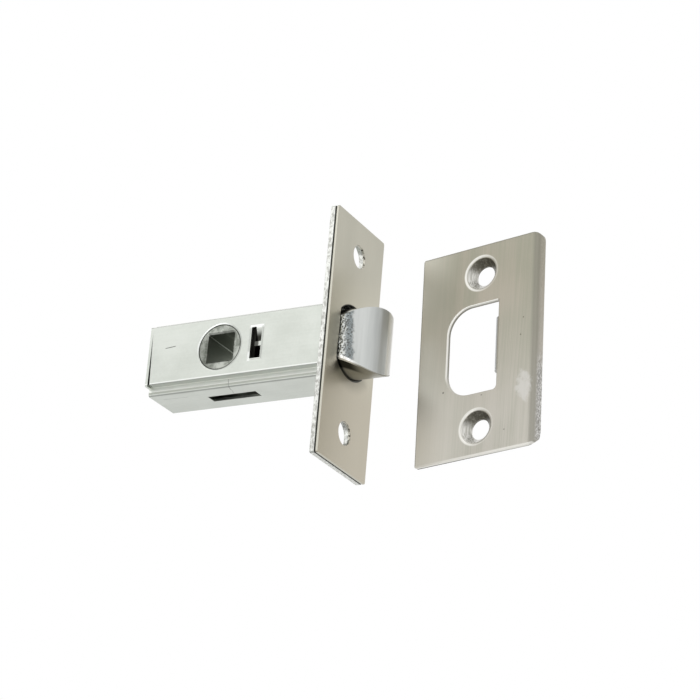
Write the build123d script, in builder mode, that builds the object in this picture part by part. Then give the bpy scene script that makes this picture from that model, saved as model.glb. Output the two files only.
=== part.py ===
from build123d import *
from math import cos, pi, sin, sqrt
import os

# Tubular mortice door latch with its strike plate, in millimetres.
# The origin is the centre of the forend cover's front face.
# +X leaves the door edge along the bolt, +Z runs up the forend, +Y goes away from the bevel side.

# Forend: a thin cover over a plain backing strip
forend_height = 70.0
forend_width = 26.0
cover_thickness = 0.7
backing_thickness = 1.75
forend_corner_radius = 0.6
backing_edge_break = 0.4
screw_spacing = 50.5
screw_hole_radius = 3.2
backing_hole_radius = 4.2
opening_clearance = 0.68
opening_flat_clearance = 0.15
opening_rise = 0.3

# Latch bolt: a round bar with two flats, a convex bevel and a fork at the rear.
# It lies a little below the axis of the follower and the spring.
bolt_radius = 9.4
bolt_drop = 0.3
bolt_flat_front = 7.05
bolt_flat_back = 6.25
bolt_projection = 9.5
bolt_travel = 9.4
bevel_start = 0.3
bevel_radius = 13.0
nose_flat_low = 2.6
nose_corner_radius = 2.2
bolt_shoulder_depth = 6.0
fork_length = 7.0

# Case: folded sheet with stepped corners, closed by a back plate with an end flap
sheet = 0.75
case_length = 55.0
case_width = 18.0
face_height = 16.9
bolt_play = 0.08
bolt_floor_gap = 0.4
case_bend_radius = 0.65
face_edge_radius = 0.25
face_trim = 0.7
staking_tab_height = 6.0
tab_clearance = 0.1
flange_tab_length = 4.0
flange_tab_spacing = 36.0
end_bend_radius = 1.4
end_flap_edge = 0.1
end_flap_drop = 0.35

# Follower: hub with a square socket and two wings
backset = 35.5
spindle_square = 8.05
socket_corner_radius = 0.3
hub_radius = 6.45
hub_edge_break = 0.15
hub_body_radius = 6.9
hub_clearance = 0.1
hub_end_play = 0.2
wing_tip_radius = 10.4
wing_root_radius = 5.5
wing_root_half = 2.6
wing_tip_half = 1.0
wing_tip_round = 0.5
wing_thickness = 3.0
wing_tilt = 29.0
socket_chamfer = 0.5

# Wing slots through the top and bottom of the case
wing_slot_length = 14.8
wing_slot_width = 3.4
wing_slot_lead = 0.6

# Lanced slots in both faces: a slit for the spring plate's ears, and a window beside it
# with a tab across it and a lance from its top that is pressed in behind the plate
slit_lead = 9.6
slit_width = 1.3
slit_height = 9.0
window_width = 1.9
tab_top = 0.2
tab_height = 1.3
lance_play = 0.1
lance_depth = 1.5
lance_thickness = 0.6

# Spring plate
plate_thickness = 1.2
plate_half_height = 6.9
plate_side_clearance = 0.1
ear_height = 8.4
ear_recess = 0.7
plate_hole_side = 0.4
plate_hole_clearance = 0.4
plate_hole_round = 0.4

# Stirrup: one folded strip from the bolt's fork round the follower
stirrup_sheet = 1.0
stirrup_clearance = 0.35
window_clearance = 0.3
hub_window_clearance = 0.25
stirrup_rear_wall = 2.3
stirrup_bend_radius = 1.6
shoulder_clearance = 0.05
tongue_lead = 1.3
tongue_length = 3.0
tongue_split = 0.3

# Rivets that join the stirrup to the bolt's fork
rivet_radius = 0.9
rivet_head_radius = 1.4
rivet_head_height = 0.6
rivet_head_round = 0.3
rivet_height = 6.0
rivet_setback = 3.3

# Bolt spring
spring_wire = 0.9
spring_side_clearance = 0.5
spring_turns = 11
spring_closed_turns = 0.75
spring_closed_pitch = 0.93
spring_pocket_clearance = 0.45
pocket_floor = 2.5

# Strike plate: folded sheet, standing beside the latch
strike_position = (14.21, 11.84, -2.52)
strike_turn = -8.4
strike_lean = -1.1
strike_roll = -2.1
strike_height = 60.2
strike_flat_width = 35.8
strike_sheet = 1.0
lip_radius = 3.0
lip_angle = 50.0
strike_corner_radius = 3.7
strike_hole_spacing = 44.0
strike_hole_inset = 18.75
strike_hole_radius = 2.8
dimple_radius = 4.6
dimple_depth = 2.2
dimple_wall = 0.6
dimple_rim_radius = 1.0
aperture_inset = 8.95
aperture_width = 15.6
aperture_height = 25.2
aperture_rise = 0.2
aperture_round = 7.0
aperture_low_round = 1.2
aperture_high_round = 0.6
aperture_edge_radius = 0.35
tang_height = 15.1
tang_rise = 0.5
tang_depth = 4.5
tang_inset = 1.4
tang_bend_radius = 2.0

# Places that follow from the sizes above
forend_back = -(cover_thickness + backing_thickness)
case_end = forend_back - case_length
case_middle = (forend_back + case_end) / 2
face_outer = case_width / 2
face_inner = face_outer - sheet
step_height = face_height / 2
step_inner = step_height - sheet
body_inner = sqrt((bolt_radius + bolt_play) ** 2 - (step_inner - bolt_drop) ** 2)
body_width = 2 * (body_inner + sheet)
body_top = bolt_radius - bolt_drop + bolt_play + sheet
body_bottom = bolt_radius + bolt_drop + bolt_floor_gap + sheet
hub_body_half = face_inner - hub_end_play
fork_end = -(bolt_shoulder_depth + fork_length)
slit_rear = -(backset - slit_lead)
slit_front = slit_rear + slit_width
plate_front = slit_rear + plate_thickness
stirrup_outer = body_inner - stirrup_clearance
fork_half = stirrup_outer - stirrup_sheet
stirrup_half_height = body_top - sheet - stirrup_clearance
spring_mean_radius = fork_half - spring_side_clearance - spring_wire / 2
spring_pocket_radius = spring_mean_radius + spring_wire / 2 + spring_pocket_clearance
window_half_height = hub_body_radius + hub_window_clearance
window_rear = -(backset + hub_body_radius + window_clearance)
window_front = plate_front + bolt_travel + window_clearance
stirrup_rear = window_rear - stirrup_rear_wall - stirrup_sheet
stirrup_front = -(bolt_shoulder_depth + shoulder_clearance)
rivet_x = -(bolt_shoulder_depth + rivet_setback)
tongue_front = -(backset - tongue_lead)
plate_hole_half = sqrt(wing_tip_radius**2 - slit_lead**2) + plate_hole_clearance
spring_low = plate_front + spring_wire / 2
spring_high = -pocket_floor - spring_wire / 2

os.makedirs("parts", exist_ok=True)


def bolt_outline(round_clearance, flat_clearance, centre_height):
    """The bolt's round section with its two flats, opened out by two clearances."""
    with Locations((0, centre_height)):
        Circle(bolt_radius + round_clearance)
    with Locations(((bolt_flat_back - bolt_flat_front) / 2, 0)):
        Rectangle(
            bolt_flat_back + bolt_flat_front + 2 * flat_clearance,
            4 * bolt_radius,
            mode=Mode.INTERSECT,
        )


def case_outline(inset, mode=Mode.ADD):
    """The case's stepped section, a wide low rectangle crossed by a narrow high one."""
    Rectangle(case_width - 2 * inset, face_height - 2 * inset, mode=mode)
    with Locations((0, (body_top - body_bottom) / 2)):
        Rectangle(body_width - 2 * inset, body_top + body_bottom - 2 * inset, mode=mode)


def lanced_slot():
    """The slit and the window of a face, with the tab of plain sheet across the window."""
    with Locations((slit_rear, 0)):
        Rectangle(slit_width, slit_height, align=(Align.MIN, Align.CENTER))
    with Locations((slit_front, slit_height / 2)):
        Rectangle(window_width, slit_height / 2 - tab_top, align=(Align.MIN, Align.MAX))
    with Locations((slit_front, -slit_height / 2)):
        Rectangle(
            window_width, slit_height / 2 + tab_top - tab_height, align=(Align.MIN, Align.MIN)
        )


def lance(side):
    """A lance from its edge, hinged at the window's top and pressed inwards at its free end."""
    hinge = slit_height / 2
    free = tab_top + lance_play
    deep = face_outer - lance_depth
    Polygon(
        (side * face_outer, hinge),
        (side * deep, free),
        (side * (deep - lance_thickness), free),
        (side * (face_outer - lance_thickness), hinge),
    )


def coil_points(steps):
    """Points along the spring's wire, so many to a turn, close together in the end turns."""
    count = int(spring_turns * steps)
    openness = []
    for step in range(count):
        turns_in = min(step + 0.5, count - step - 0.5) / steps
        openness.append(max(0.0, min(1.0, 2 * (turns_in - spring_closed_turns))))
    closed = spring_closed_pitch / steps
    spread = (spring_high - spring_low - count * closed) / sum(openness)
    height = spring_low
    points = []
    for step in range(count + 1):
        turn = 2 * pi * step / steps
        points.append((height, spring_mean_radius * cos(turn), spring_mean_radius * sin(turn)))
        if step < count:
            height += closed + spread * openness[step]
    return points


# Forend cover: polished sheet with the bolt opening and two screw holes
with BuildPart() as forend_cover:
    with BuildSketch(Plane.YZ):
        RectangleRounded(forend_width, forend_height, forend_corner_radius)
    extrude(amount=-cover_thickness)
    with BuildSketch(Plane.YZ):
        bolt_outline(opening_clearance, opening_flat_clearance, opening_rise)
        with GridLocations(screw_spacing, screw_spacing, 1, 2):
            Circle(screw_hole_radius)
    extrude(amount=-cover_thickness, mode=Mode.SUBTRACT)

# Forend backing: plated strip with wider screw holes and slots for the case's staked tabs
with BuildPart() as forend_backing:
    with BuildSketch(Plane.YZ.offset(forend_back)):
        RectangleRounded(forend_width, forend_height, forend_corner_radius)
    extrude(amount=backing_thickness)
    chamfer(forend_backing.faces().sort_by(Axis.X)[-1].outer_wire().edges(), backing_edge_break)
    with BuildSketch(Plane.YZ.offset(forend_back)):
        bolt_outline(opening_clearance, opening_flat_clearance, opening_rise)
        with GridLocations(screw_spacing, screw_spacing, 1, 2):
            Circle(backing_hole_radius)
        with GridLocations(case_width - sheet, forend_height, 2, 1):
            Rectangle(sheet + 2 * tab_clearance, staking_tab_height + 2 * tab_clearance)
    extrude(amount=backing_thickness, mode=Mode.SUBTRACT)

# Case shell: face, top and bottom folded from one sheet, with stepped corners and an open back
with BuildPart() as case_shell:
    with BuildSketch(Plane.YZ.offset(case_end)) as shell_section:
        case_outline(0)
        fillet(shell_section.vertices().group_by(Axis.Y)[0], case_bend_radius)
        fillet(shell_section.vertices().group_by(Axis.Y)[-1], case_bend_radius)
        fillet(shell_section.vertices().group_by(Axis.X)[0], face_edge_radius)
        case_outline(sheet, mode=Mode.SUBTRACT)
        with Locations((face_inner, 0)):
            Rectangle(
                case_width, 2 * body_bottom, align=(Align.MIN, Align.CENTER), mode=Mode.SUBTRACT
            )
    extrude(amount=case_length)
    with BuildSketch(Plane.YZ.offset(forend_back)):
        with Locations((-(face_outer - sheet / 2), 0)):
            Rectangle(sheet, staking_tab_height)
    extrude(amount=backing_thickness)
    with BuildSketch(Plane.XZ.offset(-face_inner)):
        with Locations((case_middle, 0)):
            with GridLocations(flange_tab_spacing, face_height - sheet, 2, 2):
                Rectangle(flange_tab_length, sheet)
    extrude(amount=-sheet)
    with BuildSketch(Plane.XZ.offset(face_outer)):
        with Locations((-backset, 0)):
            Circle(hub_radius + hub_clearance)
        lanced_slot()
    extrude(amount=-sheet, mode=Mode.SUBTRACT)
    with BuildSketch(Plane.XZ.offset(face_outer)):
        Polygon(
            (case_end, step_height),
            (case_end, -step_height),
            (case_end + face_trim, -step_height),
        )
    extrude(amount=-2 * sheet, mode=Mode.SUBTRACT)
    with BuildSketch(Plane.XY):
        with Locations((wing_slot_lead - backset, 0)):
            Rectangle(wing_slot_length, wing_slot_width)
    extrude(amount=body_bottom, both=True, mode=Mode.SUBTRACT)
    with BuildSketch(Plane.YZ.offset(slit_front + lance_play)):
        lance(-1)
    extrude(amount=window_width - 2 * lance_play)

# Case back: closing plate, notched for the shell's tabs, whose rear end folds over as a flap
# that covers the end of the case
with BuildPart() as case_back:
    with BuildSketch(Plane.XY.offset(-step_height)):
        with Locations((case_end - sheet, face_inner)):
            Rectangle(case_length + sheet, sheet, align=Align.MIN)
        with Locations((case_end - sheet, face_outer)):
            Rectangle(sheet, case_width - end_flap_edge, align=(Align.MIN, Align.MAX))
    extrude(amount=face_height)
    fillet(
        case_back.edges().filter_by(Axis.Z).group_by(Axis.X)[0].sort_by(Axis.Y)[-1],
        end_bend_radius,
    )
    with BuildSketch(Plane.YZ.offset(case_end - sheet)):
        with Locations((0, (body_top - body_bottom) / 2)):
            RectangleRounded(body_width, body_top + body_bottom, case_bend_radius)
        with Locations((end_flap_edge - face_outer, -step_height - end_flap_drop)):
            Rectangle(case_width - end_bend_radius, 2 * end_flap_drop, align=Align.MIN)
    extrude(amount=sheet)
    with BuildSketch(Plane.YZ.offset(forend_back)):
        with Locations((face_outer - sheet / 2, 0)):
            Rectangle(sheet, staking_tab_height)
    extrude(amount=backing_thickness)
    with BuildSketch(Plane.XZ.offset(-face_inner)):
        with Locations((case_middle, 0)):
            with GridLocations(flange_tab_spacing, face_height - sheet, 2, 2):
                Rectangle(flange_tab_length + 2 * tab_clearance, sheet + 2 * tab_clearance)
        with Locations((-backset, 0)):
            Circle(hub_radius + hub_clearance)
        lanced_slot()
    extrude(amount=-sheet, mode=Mode.SUBTRACT)
    with BuildSketch(Plane.YZ.offset(slit_front + lance_play)):
        lance(1)
    extrude(amount=window_width - 2 * lance_play)

# Spring plate: seat of the bolt spring, with ears in the case's slits and a hole for a wing tip
with BuildPart() as spring_plate:
    with BuildSketch(Plane.YZ.offset(slit_rear)):
        Rectangle(2 * (face_inner - plate_side_clearance), 2 * plate_half_height)
        Rectangle(case_width - 2 * ear_recess, ear_height)
        RectangleRounded(
            wing_thickness + 2 * plate_hole_side,
            2 * plate_hole_half,
            plate_hole_round,
            mode=Mode.SUBTRACT,
        )
    extrude(amount=plate_thickness)

# Follower: cast hub that turns in both faces of the case, with a wing above and one below
with BuildPart() as follower:
    with BuildSketch(Plane.XZ.offset(face_outer)):
        with Locations((-backset, 0)):
            Circle(hub_radius)
    extrude(amount=-case_width)
    with BuildSketch(Plane.XZ.offset(hub_body_half)):
        with Locations((-backset, 0)):
            Circle(hub_body_radius)
    extrude(amount=-2 * hub_body_half)
    with BuildSketch(Plane.XZ.offset(wing_thickness / 2)) as wings:
        with Locations((-backset, 0)):
            for wing_angle in (-wing_tilt, 180 + wing_tilt):
                Polygon(
                    (-wing_root_half, wing_root_radius),
                    (wing_root_half, wing_root_radius),
                    (wing_tip_half, wing_tip_radius),
                    (-wing_tip_half, wing_tip_radius),
                    rotation=wing_angle,
                )
        fillet(wings.vertices().sort_by_distance((-backset, 0))[-4:], wing_tip_round)
    extrude(amount=-wing_thickness)
    with BuildSketch(Plane.XZ.offset(face_outer)):
        with Locations((-backset, 0)):
            RectangleRounded(spindle_square, spindle_square, socket_corner_radius)
    extrude(amount=-case_width, mode=Mode.SUBTRACT)
    for mouth in (follower.faces().sort_by(Axis.Y)[0], follower.faces().sort_by(Axis.Y)[-1]):
        chamfer(mouth.outer_wire().edges(), hub_edge_break)
    for mouth in (follower.faces().sort_by(Axis.Y)[0], follower.faces().sort_by(Axis.Y)[-1]):
        chamfer(mouth.inner_wires()[0].edges(), socket_chamfer)

# Latch bolt: cast head with a bored fork behind, which holds the spring and the stirrup
with BuildPart() as latch_bolt:
    with BuildSketch(Plane.YZ.offset(fork_end)):
        bolt_outline(0, 0, -bolt_drop)
    extrude(amount=bolt_projection - fork_end)
    with BuildSketch(Plane.XY.offset(-bolt_drop)):
        with BuildLine():
            RadiusArc(
                (bevel_start, -bolt_flat_front), (bolt_projection, nose_flat_low), -bevel_radius
            )
            Line(
                (bolt_projection, nose_flat_low),
                (bolt_projection, bolt_flat_back - nose_corner_radius),
            )
            RadiusArc(
                (bolt_projection, bolt_flat_back - nose_corner_radius),
                (bolt_projection - nose_corner_radius, bolt_flat_back),
                -nose_corner_radius,
            )
            Polyline(
                (bolt_projection - nose_corner_radius, bolt_flat_back),
                (fork_end, bolt_flat_back),
                (fork_end, -bolt_flat_front),
                (bevel_start, -bolt_flat_front),
            )
        make_face()
    extrude(amount=bolt_radius, both=True, mode=Mode.INTERSECT)
    with BuildSketch(Plane.YZ.offset(fork_end)):
        Rectangle(4 * bolt_radius, 4 * bolt_radius)
        Rectangle(2 * fork_half, 4 * bolt_radius, mode=Mode.SUBTRACT)
    extrude(amount=fork_length, mode=Mode.SUBTRACT)
    with BuildSketch(Plane.YZ.offset(fork_end)):
        Circle(spring_pocket_radius)
    extrude(amount=-pocket_floor - fork_end, mode=Mode.SUBTRACT)
    with BuildSketch(Plane.XZ.offset(fork_half)):
        with Locations((rivet_x, 0)):
            with GridLocations(2 * rivet_height, 2 * rivet_height, 1, 2):
                Circle(rivet_radius)
    extrude(amount=-2 * fork_half, mode=Mode.SUBTRACT)

# Stirrup: strip folded into a U, with a window in each arm and tongues bent in over the follower
with BuildPart() as stirrup:
    with BuildSketch(Plane.XY.offset(-stirrup_half_height)):
        with Locations((stirrup_rear, 0)):
            Rectangle(
                stirrup_front - stirrup_rear, 2 * stirrup_outer, align=(Align.MIN, Align.CENTER)
            )
        with Locations((stirrup_rear + stirrup_sheet, 0)):
            Rectangle(
                stirrup_front - stirrup_rear,
                2 * fork_half,
                align=(Align.MIN, Align.CENTER),
                mode=Mode.SUBTRACT,
            )
    extrude(amount=2 * stirrup_half_height)
    bends = stirrup.edges().filter_by(Axis.Z).group_by(Axis.X)
    fillet(bends[0], stirrup_bend_radius)
    fillet(bends[1], stirrup_bend_radius - stirrup_sheet)
    with BuildSketch(Plane.XZ.offset(stirrup_outer)):
        with Locations((window_rear, 0)):
            Rectangle(
                window_front - window_rear, 2 * window_half_height, align=(Align.MIN, Align.CENTER)
            )
        with Locations((rivet_x, 0)):
            with GridLocations(2 * rivet_height, 2 * rivet_height, 1, 2):
                Circle(rivet_radius)
    extrude(amount=-2 * stirrup_outer, mode=Mode.SUBTRACT)
    with BuildSketch(Plane.YZ.offset(tongue_front)):
        with GridLocations(
            tongue_split + stirrup_outer, 2 * window_half_height + stirrup_sheet, 2, 2
        ):
            Rectangle(stirrup_outer - tongue_split, stirrup_sheet)
    extrude(amount=-tongue_length)

# Stirrup rivets: each goes through both arms and one prong of the fork
rivets = []
for rivet_name, rivet_z in (("upper", rivet_height), ("lower", -rivet_height)):
    with BuildPart() as rivet:
        with BuildSketch(Plane.XZ.offset(stirrup_outer)):
            with Locations((rivet_x, rivet_z)):
                Circle(rivet_radius)
        extrude(amount=-2 * stirrup_outer)
        for head_base, head_way in ((stirrup_outer, 1), (-stirrup_outer, -1)):
            with BuildSketch(Plane.XZ.offset(head_base)):
                with Locations((rivet_x, rivet_z)):
                    Circle(rivet_head_radius)
            extrude(amount=head_way * rivet_head_height)
        for head_top in (rivet.faces().sort_by(Axis.Y)[0], rivet.faces().sort_by(Axis.Y)[-1]):
            fillet(head_top.edges(), rivet_head_round)
    rivet.part.label = "stirrup_rivet_" + rivet_name
    rivets.append(rivet)

# Bolt spring: coil from the spring plate to the floor of the bolt's pocket, with closed ends
with BuildPart() as bolt_spring:
    with BuildLine():
        coil = Spline(*coil_points(12))
    with BuildSketch(Plane(origin=coil @ 0, z_dir=coil % 0)):
        Circle(spring_wire / 2)
    sweep(path=coil, is_frenet=True)

# Strike plate: flat sheet with a curved lip, two dimpled screw holes and the bolt's aperture
strike_across = (
    Vector(1, 0, 0)
    .rotate(Axis.Z, strike_turn)
    .rotate(Axis.X, strike_lean)
    .rotate(Axis.Y, strike_roll)
)
strike_front = (
    Vector(0, -1, 0)
    .rotate(Axis.Z, strike_turn)
    .rotate(Axis.X, strike_lean)
    .rotate(Axis.Y, strike_roll)
)
strike_face = Plane(origin=strike_position, x_dir=strike_across, z_dir=strike_front)
strike_section = Plane(origin=strike_position, x_dir=strike_across, z_dir=strike_face.y_dir)
aperture_far = aperture_inset + aperture_width
tang_near = aperture_far - tang_inset
bend_far = tang_near + tang_bend_radius
with BuildPart() as strike_plate:
    with BuildSketch(strike_section.offset(-strike_height / 2)):
        with BuildLine():
            Line((0, 0), (strike_flat_width, 0))
            outer_lip = CenterArc((strike_flat_width, lip_radius), lip_radius, -90, lip_angle)
            inner_lip = CenterArc(
                (strike_flat_width, lip_radius), lip_radius - strike_sheet, -90, lip_angle
            )
            Line(outer_lip @ 1, inner_lip @ 1)
            Polyline((strike_flat_width, strike_sheet), (0, strike_sheet), (0, 0))
        make_face()
    extrude(amount=strike_height)
    strike_width = (outer_lip @ 1).X
    with BuildSketch(strike_face) as strike_outline:
        Rectangle(strike_width, strike_height, align=(Align.MIN, Align.CENTER))
        fillet(strike_outline.vertices().group_by(Axis.X)[-1], strike_corner_radius)
        fillet(strike_outline.vertices().group_by(Axis.X)[0], forend_corner_radius)
    extrude(amount=-2 * lip_radius, mode=Mode.INTERSECT)
    with BuildSketch(strike_face) as aperture:
        with Locations((aperture_inset, aperture_rise)):
            Rectangle(aperture_width, aperture_height, align=(Align.MIN, Align.CENTER))
        fillet(aperture.vertices().group_by(Axis.X)[0], aperture_round)
        far_corners = aperture.vertices().group_by(Axis.X)[-1].sort_by(Axis.Y)
        fillet(far_corners[0], aperture_low_round)
        fillet(far_corners[-1], aperture_high_round)
    extrude(amount=-strike_sheet, mode=Mode.SUBTRACT)
    front = strike_plate.faces().sort_by(Axis(strike_position, strike_front))[-1]
    fillet(front.inner_wires()[0].edges(), aperture_edge_radius)
    with BuildSketch(strike_face):
        with Locations((strike_hole_inset, 0)):
            with GridLocations(strike_hole_spacing, strike_hole_spacing, 1, 2):
                Circle(dimple_radius)
        with Locations((tang_near, tang_rise)):
            Rectangle(tang_bend_radius, tang_height, align=(Align.MIN, Align.CENTER))
    extrude(amount=-strike_sheet, mode=Mode.SUBTRACT)
    for hole_height in (strike_hole_spacing / 2, -strike_hole_spacing / 2):
        hole_section = strike_section.offset(hole_height)
        with BuildSketch(hole_section):
            with Locations((strike_hole_inset, 0)):
                Polygon(
                    (dimple_radius, 0),
                    (strike_hole_radius, dimple_depth),
                    (strike_hole_radius, dimple_depth + dimple_wall),
                    (dimple_radius, strike_sheet),
                )
        revolve(
            axis=Axis(hole_section.from_local_coords((strike_hole_inset, 0, 0)), -strike_front)
        )
    front = strike_plate.faces().sort_by(Axis(strike_position, strike_front))[-1]
    fillet(front.edges().filter_by(lambda edge: edge.is_closed), dimple_rim_radius)
    with BuildSketch(strike_section.offset(tang_rise - tang_height / 2)):
        with BuildLine():
            outer_bend = CenterArc((bend_far, tang_bend_radius), tang_bend_radius, 180, 90)
            inner_bend = CenterArc(
                (bend_far, tang_bend_radius), tang_bend_radius - strike_sheet, 180, 90
            )
            Line(outer_bend @ 1, inner_bend @ 1)
            Polyline(
                outer_bend @ 0,
                (tang_near, tang_depth),
                (tang_near + strike_sheet, tang_depth),
                inner_bend @ 0,
            )
        make_face()
    extrude(amount=tang_height)

forend_cover.part.label = "forend_cover"
forend_backing.part.label = "forend_backing"
case_shell.part.label = "case_shell"
case_back.part.label = "case_back"
spring_plate.part.label = "spring_plate"
follower.part.label = "follower"
latch_bolt.part.label = "latch_bolt"
stirrup.part.label = "stirrup"
bolt_spring.part.label = "bolt_spring"
strike_plate.part.label = "strike_plate"

for piece in (
    forend_cover,
    forend_backing,
    case_shell,
    case_back,
    spring_plate,
    follower,
    latch_bolt,
    stirrup,
    *rivets,
    bolt_spring,
    strike_plate,
):
    export_step(piece.part, "parts/" + piece.part.label + ".step")
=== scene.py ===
import math

import bmesh
import bpy
from mathutils import Matrix, Vector


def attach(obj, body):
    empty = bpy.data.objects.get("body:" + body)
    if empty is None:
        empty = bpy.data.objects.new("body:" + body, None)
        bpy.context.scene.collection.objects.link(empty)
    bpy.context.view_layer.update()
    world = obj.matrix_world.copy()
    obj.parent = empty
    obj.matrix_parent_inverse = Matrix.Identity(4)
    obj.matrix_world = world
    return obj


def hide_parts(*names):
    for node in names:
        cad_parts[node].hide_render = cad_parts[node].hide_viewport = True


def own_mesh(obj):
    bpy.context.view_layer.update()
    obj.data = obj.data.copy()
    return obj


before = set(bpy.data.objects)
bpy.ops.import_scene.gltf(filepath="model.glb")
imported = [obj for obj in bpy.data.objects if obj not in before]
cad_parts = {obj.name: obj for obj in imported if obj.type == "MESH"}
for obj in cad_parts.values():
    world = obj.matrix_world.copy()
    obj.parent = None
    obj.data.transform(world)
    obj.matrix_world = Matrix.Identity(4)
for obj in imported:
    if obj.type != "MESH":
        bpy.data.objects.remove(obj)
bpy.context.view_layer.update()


# The viewer stands in front of the latch, below it and to its right, about two thirds of a
# metre away, and looks up at the underside of the case. Places are in millimetres, and are
# turned into metres when they are used.
MM = 0.001
viewer_place = Vector((316.187, -548.405, -261.563)) * MM
viewer_right = Vector((0.87905669, 0.47010539, 0.07912182))
viewer_up = Vector((0.11511889, -0.37039293, 0.92171401))
viewer_lens = bpy.data.cameras.new("viewer_lens")
viewer_lens.sensor_width = 36.0
viewer_lens.lens = 133.43
viewer_lens.clip_start = 0.01
viewer = bpy.data.objects.new("viewer", viewer_lens)
bpy.context.scene.collection.objects.link(viewer)
viewer.matrix_world = Matrix.Translation(viewer_place) @ Matrix(
    (viewer_right, viewer_up, viewer_right.cross(viewer_up))
).transposed().to_4x4()
bpy.context.scene.camera = viewer


# The room is a white product studio: a white world and a pale floor well below the latch. The
# polished metal also mirrors a strip softbox below the camera, a grey card beside the bolt's nose
# and the shaded ground under the latch.
class Signal:
    """A node's output that adds a Math node each time it is used in a sum."""

    def __init__(self, tree, socket):
        self.tree = tree
        self.socket = socket

    def math(self, operation, *others):
        node = self.tree.nodes.new("ShaderNodeMath")
        node.operation = operation
        for place, value in enumerate((self,) + others):
            plug(self.tree, node.inputs[place], value)
        return Signal(self.tree, node.outputs[0])

    def __add__(self, other):
        return self.math("ADD", other)

    __radd__ = __add__

    def __sub__(self, other):
        return self.math("SUBTRACT", other)

    def __rsub__(self, other):
        return (self * -1.0).math("ADD", other)

    def __mul__(self, other):
        return self.math("MULTIPLY", other)

    __rmul__ = __mul__

    def __truediv__(self, other):
        return self.math("DIVIDE", other)

    def __pow__(self, other):
        return self.math("POWER", other)

    def __abs__(self):
        return self.math("ABSOLUTE")

    def larger(self, other):
        return self.math("MAXIMUM", other)

    def step_up(self, low, high):
        """0 below low, 1 above high, and a smooth rise between."""
        node = self.tree.nodes.new("ShaderNodeMapRange")
        node.interpolation_type = "SMOOTHSTEP"
        node.inputs["From Min"].default_value = low
        node.inputs["From Max"].default_value = high
        plug(self.tree, node.inputs["Value"], self)
        return Signal(self.tree, node.outputs["Result"])

    def near(self, centre, half, soft):
        """1 within half of a centre, falling to 0 over soft."""
        return 1.0 - abs(self - centre).step_up(half, half + soft)


def plug(tree, socket, value):
    """Links a signal to a socket, or sets the socket to a plain value."""
    if isinstance(value, Signal):
        tree.links.new(value.socket, socket)
    else:
        socket.default_value = value


def add_node(tree, kind, settings=None, output=0, **sockets):
    """Any node: its settings first, then its sockets by name, with _ for a space."""
    node = tree.nodes.new(kind if kind.startswith("Geometry") else "ShaderNode" + kind)
    for name, value in (settings or {}).items():
        setattr(node, name, value)
    for name, value in sockets.items():
        plug(tree, node.inputs[name.replace("_", " ")], value)
    return Signal(tree, node.outputs[output])


def three_ways(tree, vector):
    """The three parts of a vector."""
    node = tree.nodes.new("ShaderNodeSeparateXYZ")
    plug(tree, node.inputs[0], vector)
    return [Signal(tree, node.outputs[axis]) for axis in range(3)]


def toward(way, aim, inner, outer):
    """1 within an angle of an aim, in degrees, falling to 0 at a wider one."""
    aim = Vector(aim).normalized()
    facing = way[0] * aim.x + way[1] * aim.y + way[2] * aim.z
    return facing.step_up(math.cos(math.radians(outer)), math.cos(math.radians(inner)))


def mirrored_room(way):
    """How bright the room is to a mirroring surface, by the way that it looks."""
    nose_card = toward(way, (0.93, -0.05, 0.36), 8, 30)
    ground = toward(way, (-0.46, -0.16, -0.87), 20, 46)
    strip_box = way[2].near(-0.31, 0.08, 0.10) * way[1].near(-0.95, 0.16, 0.12)
    return 1.0 - nose_card * 0.35 - ground * 0.50 + strip_box * 1.1


studio = bpy.data.worlds.new("white_studio")
bpy.context.scene.world = studio
studio.use_nodes = True
air = studio.node_tree
air.nodes.clear()
seen = add_node(air, "LightPath", None, "Is Camera Ray").larger(
    add_node(air, "LightPath", None, "Is Transmission Ray")
)
mirrored = add_node(air, "LightPath", None, "Is Glossy Ray")
world_way = three_ways(air, add_node(air, "TexCoord", None, "Generated"))
level = seen + (1.0 - seen) * (
    mirrored * mirrored_room(world_way) + (1.0 - mirrored) * 0.75
)
backdrop = add_node(air, "Background", None, 0, Color=(1.0, 1.0, 1.0, 1.0), Strength=level)
plug(air, air.nodes.new("ShaderNodeOutputWorld").inputs["Surface"], backdrop)

floor_half = 1.6
floor_height = -0.5
floor_mesh = bpy.data.meshes.new("studio_floor")
floor_mesh.from_pydata(
    [
        (-floor_half, -floor_half, floor_height),
        (floor_half, -floor_half, floor_height),
        (floor_half, floor_half, floor_height),
        (-floor_half, floor_half, floor_height),
    ],
    [],
    [(0, 1, 2, 3)],
)
floor = bpy.data.objects.new("studio_floor", floor_mesh)
bpy.context.scene.collection.objects.link(floor)
paper = bpy.data.materials.new("floor_paper")
paper.use_nodes = True
sheet_tree = paper.node_tree
sheet_tree.nodes.clear()
paper_grain = add_node(sheet_tree, "TexNoise", None, 0, Scale=40.0, Detail=3.0)
paper_matt = add_node(
    sheet_tree, "BsdfPrincipled", None, 0,
    Base_Color=(0.85, 0.85, 0.85, 1.0), Roughness=0.86 + paper_grain * 0.08,
)
floor_way = add_node(
    sheet_tree, "VectorMath", {"operation": "NORMALIZE"}, 0,
    Vector=add_node(sheet_tree, "TexCoord", None, "Object"),
)
# To mirroring rays the floor glows with the room's light by the way it lies from the latch: a
# painted reflection of the strip softbox, the grey card and the shaded ground.
paper_glow = add_node(
    sheet_tree, "Emission", None, 0,
    Color=(1.0, 1.0, 1.0, 1.0),
    Strength=mirrored_room(three_ways(sheet_tree, floor_way)) * 1.06,
)
paper_mix = sheet_tree.nodes.new("ShaderNodeMixShader")
plug(sheet_tree, paper_mix.inputs[0], add_node(sheet_tree, "LightPath", None, "Is Glossy Ray"))
plug(sheet_tree, paper_mix.inputs[1], paper_matt)
plug(sheet_tree, paper_mix.inputs[2], paper_glow)
paper_out = sheet_tree.nodes.new("ShaderNodeOutputMaterial")
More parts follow.
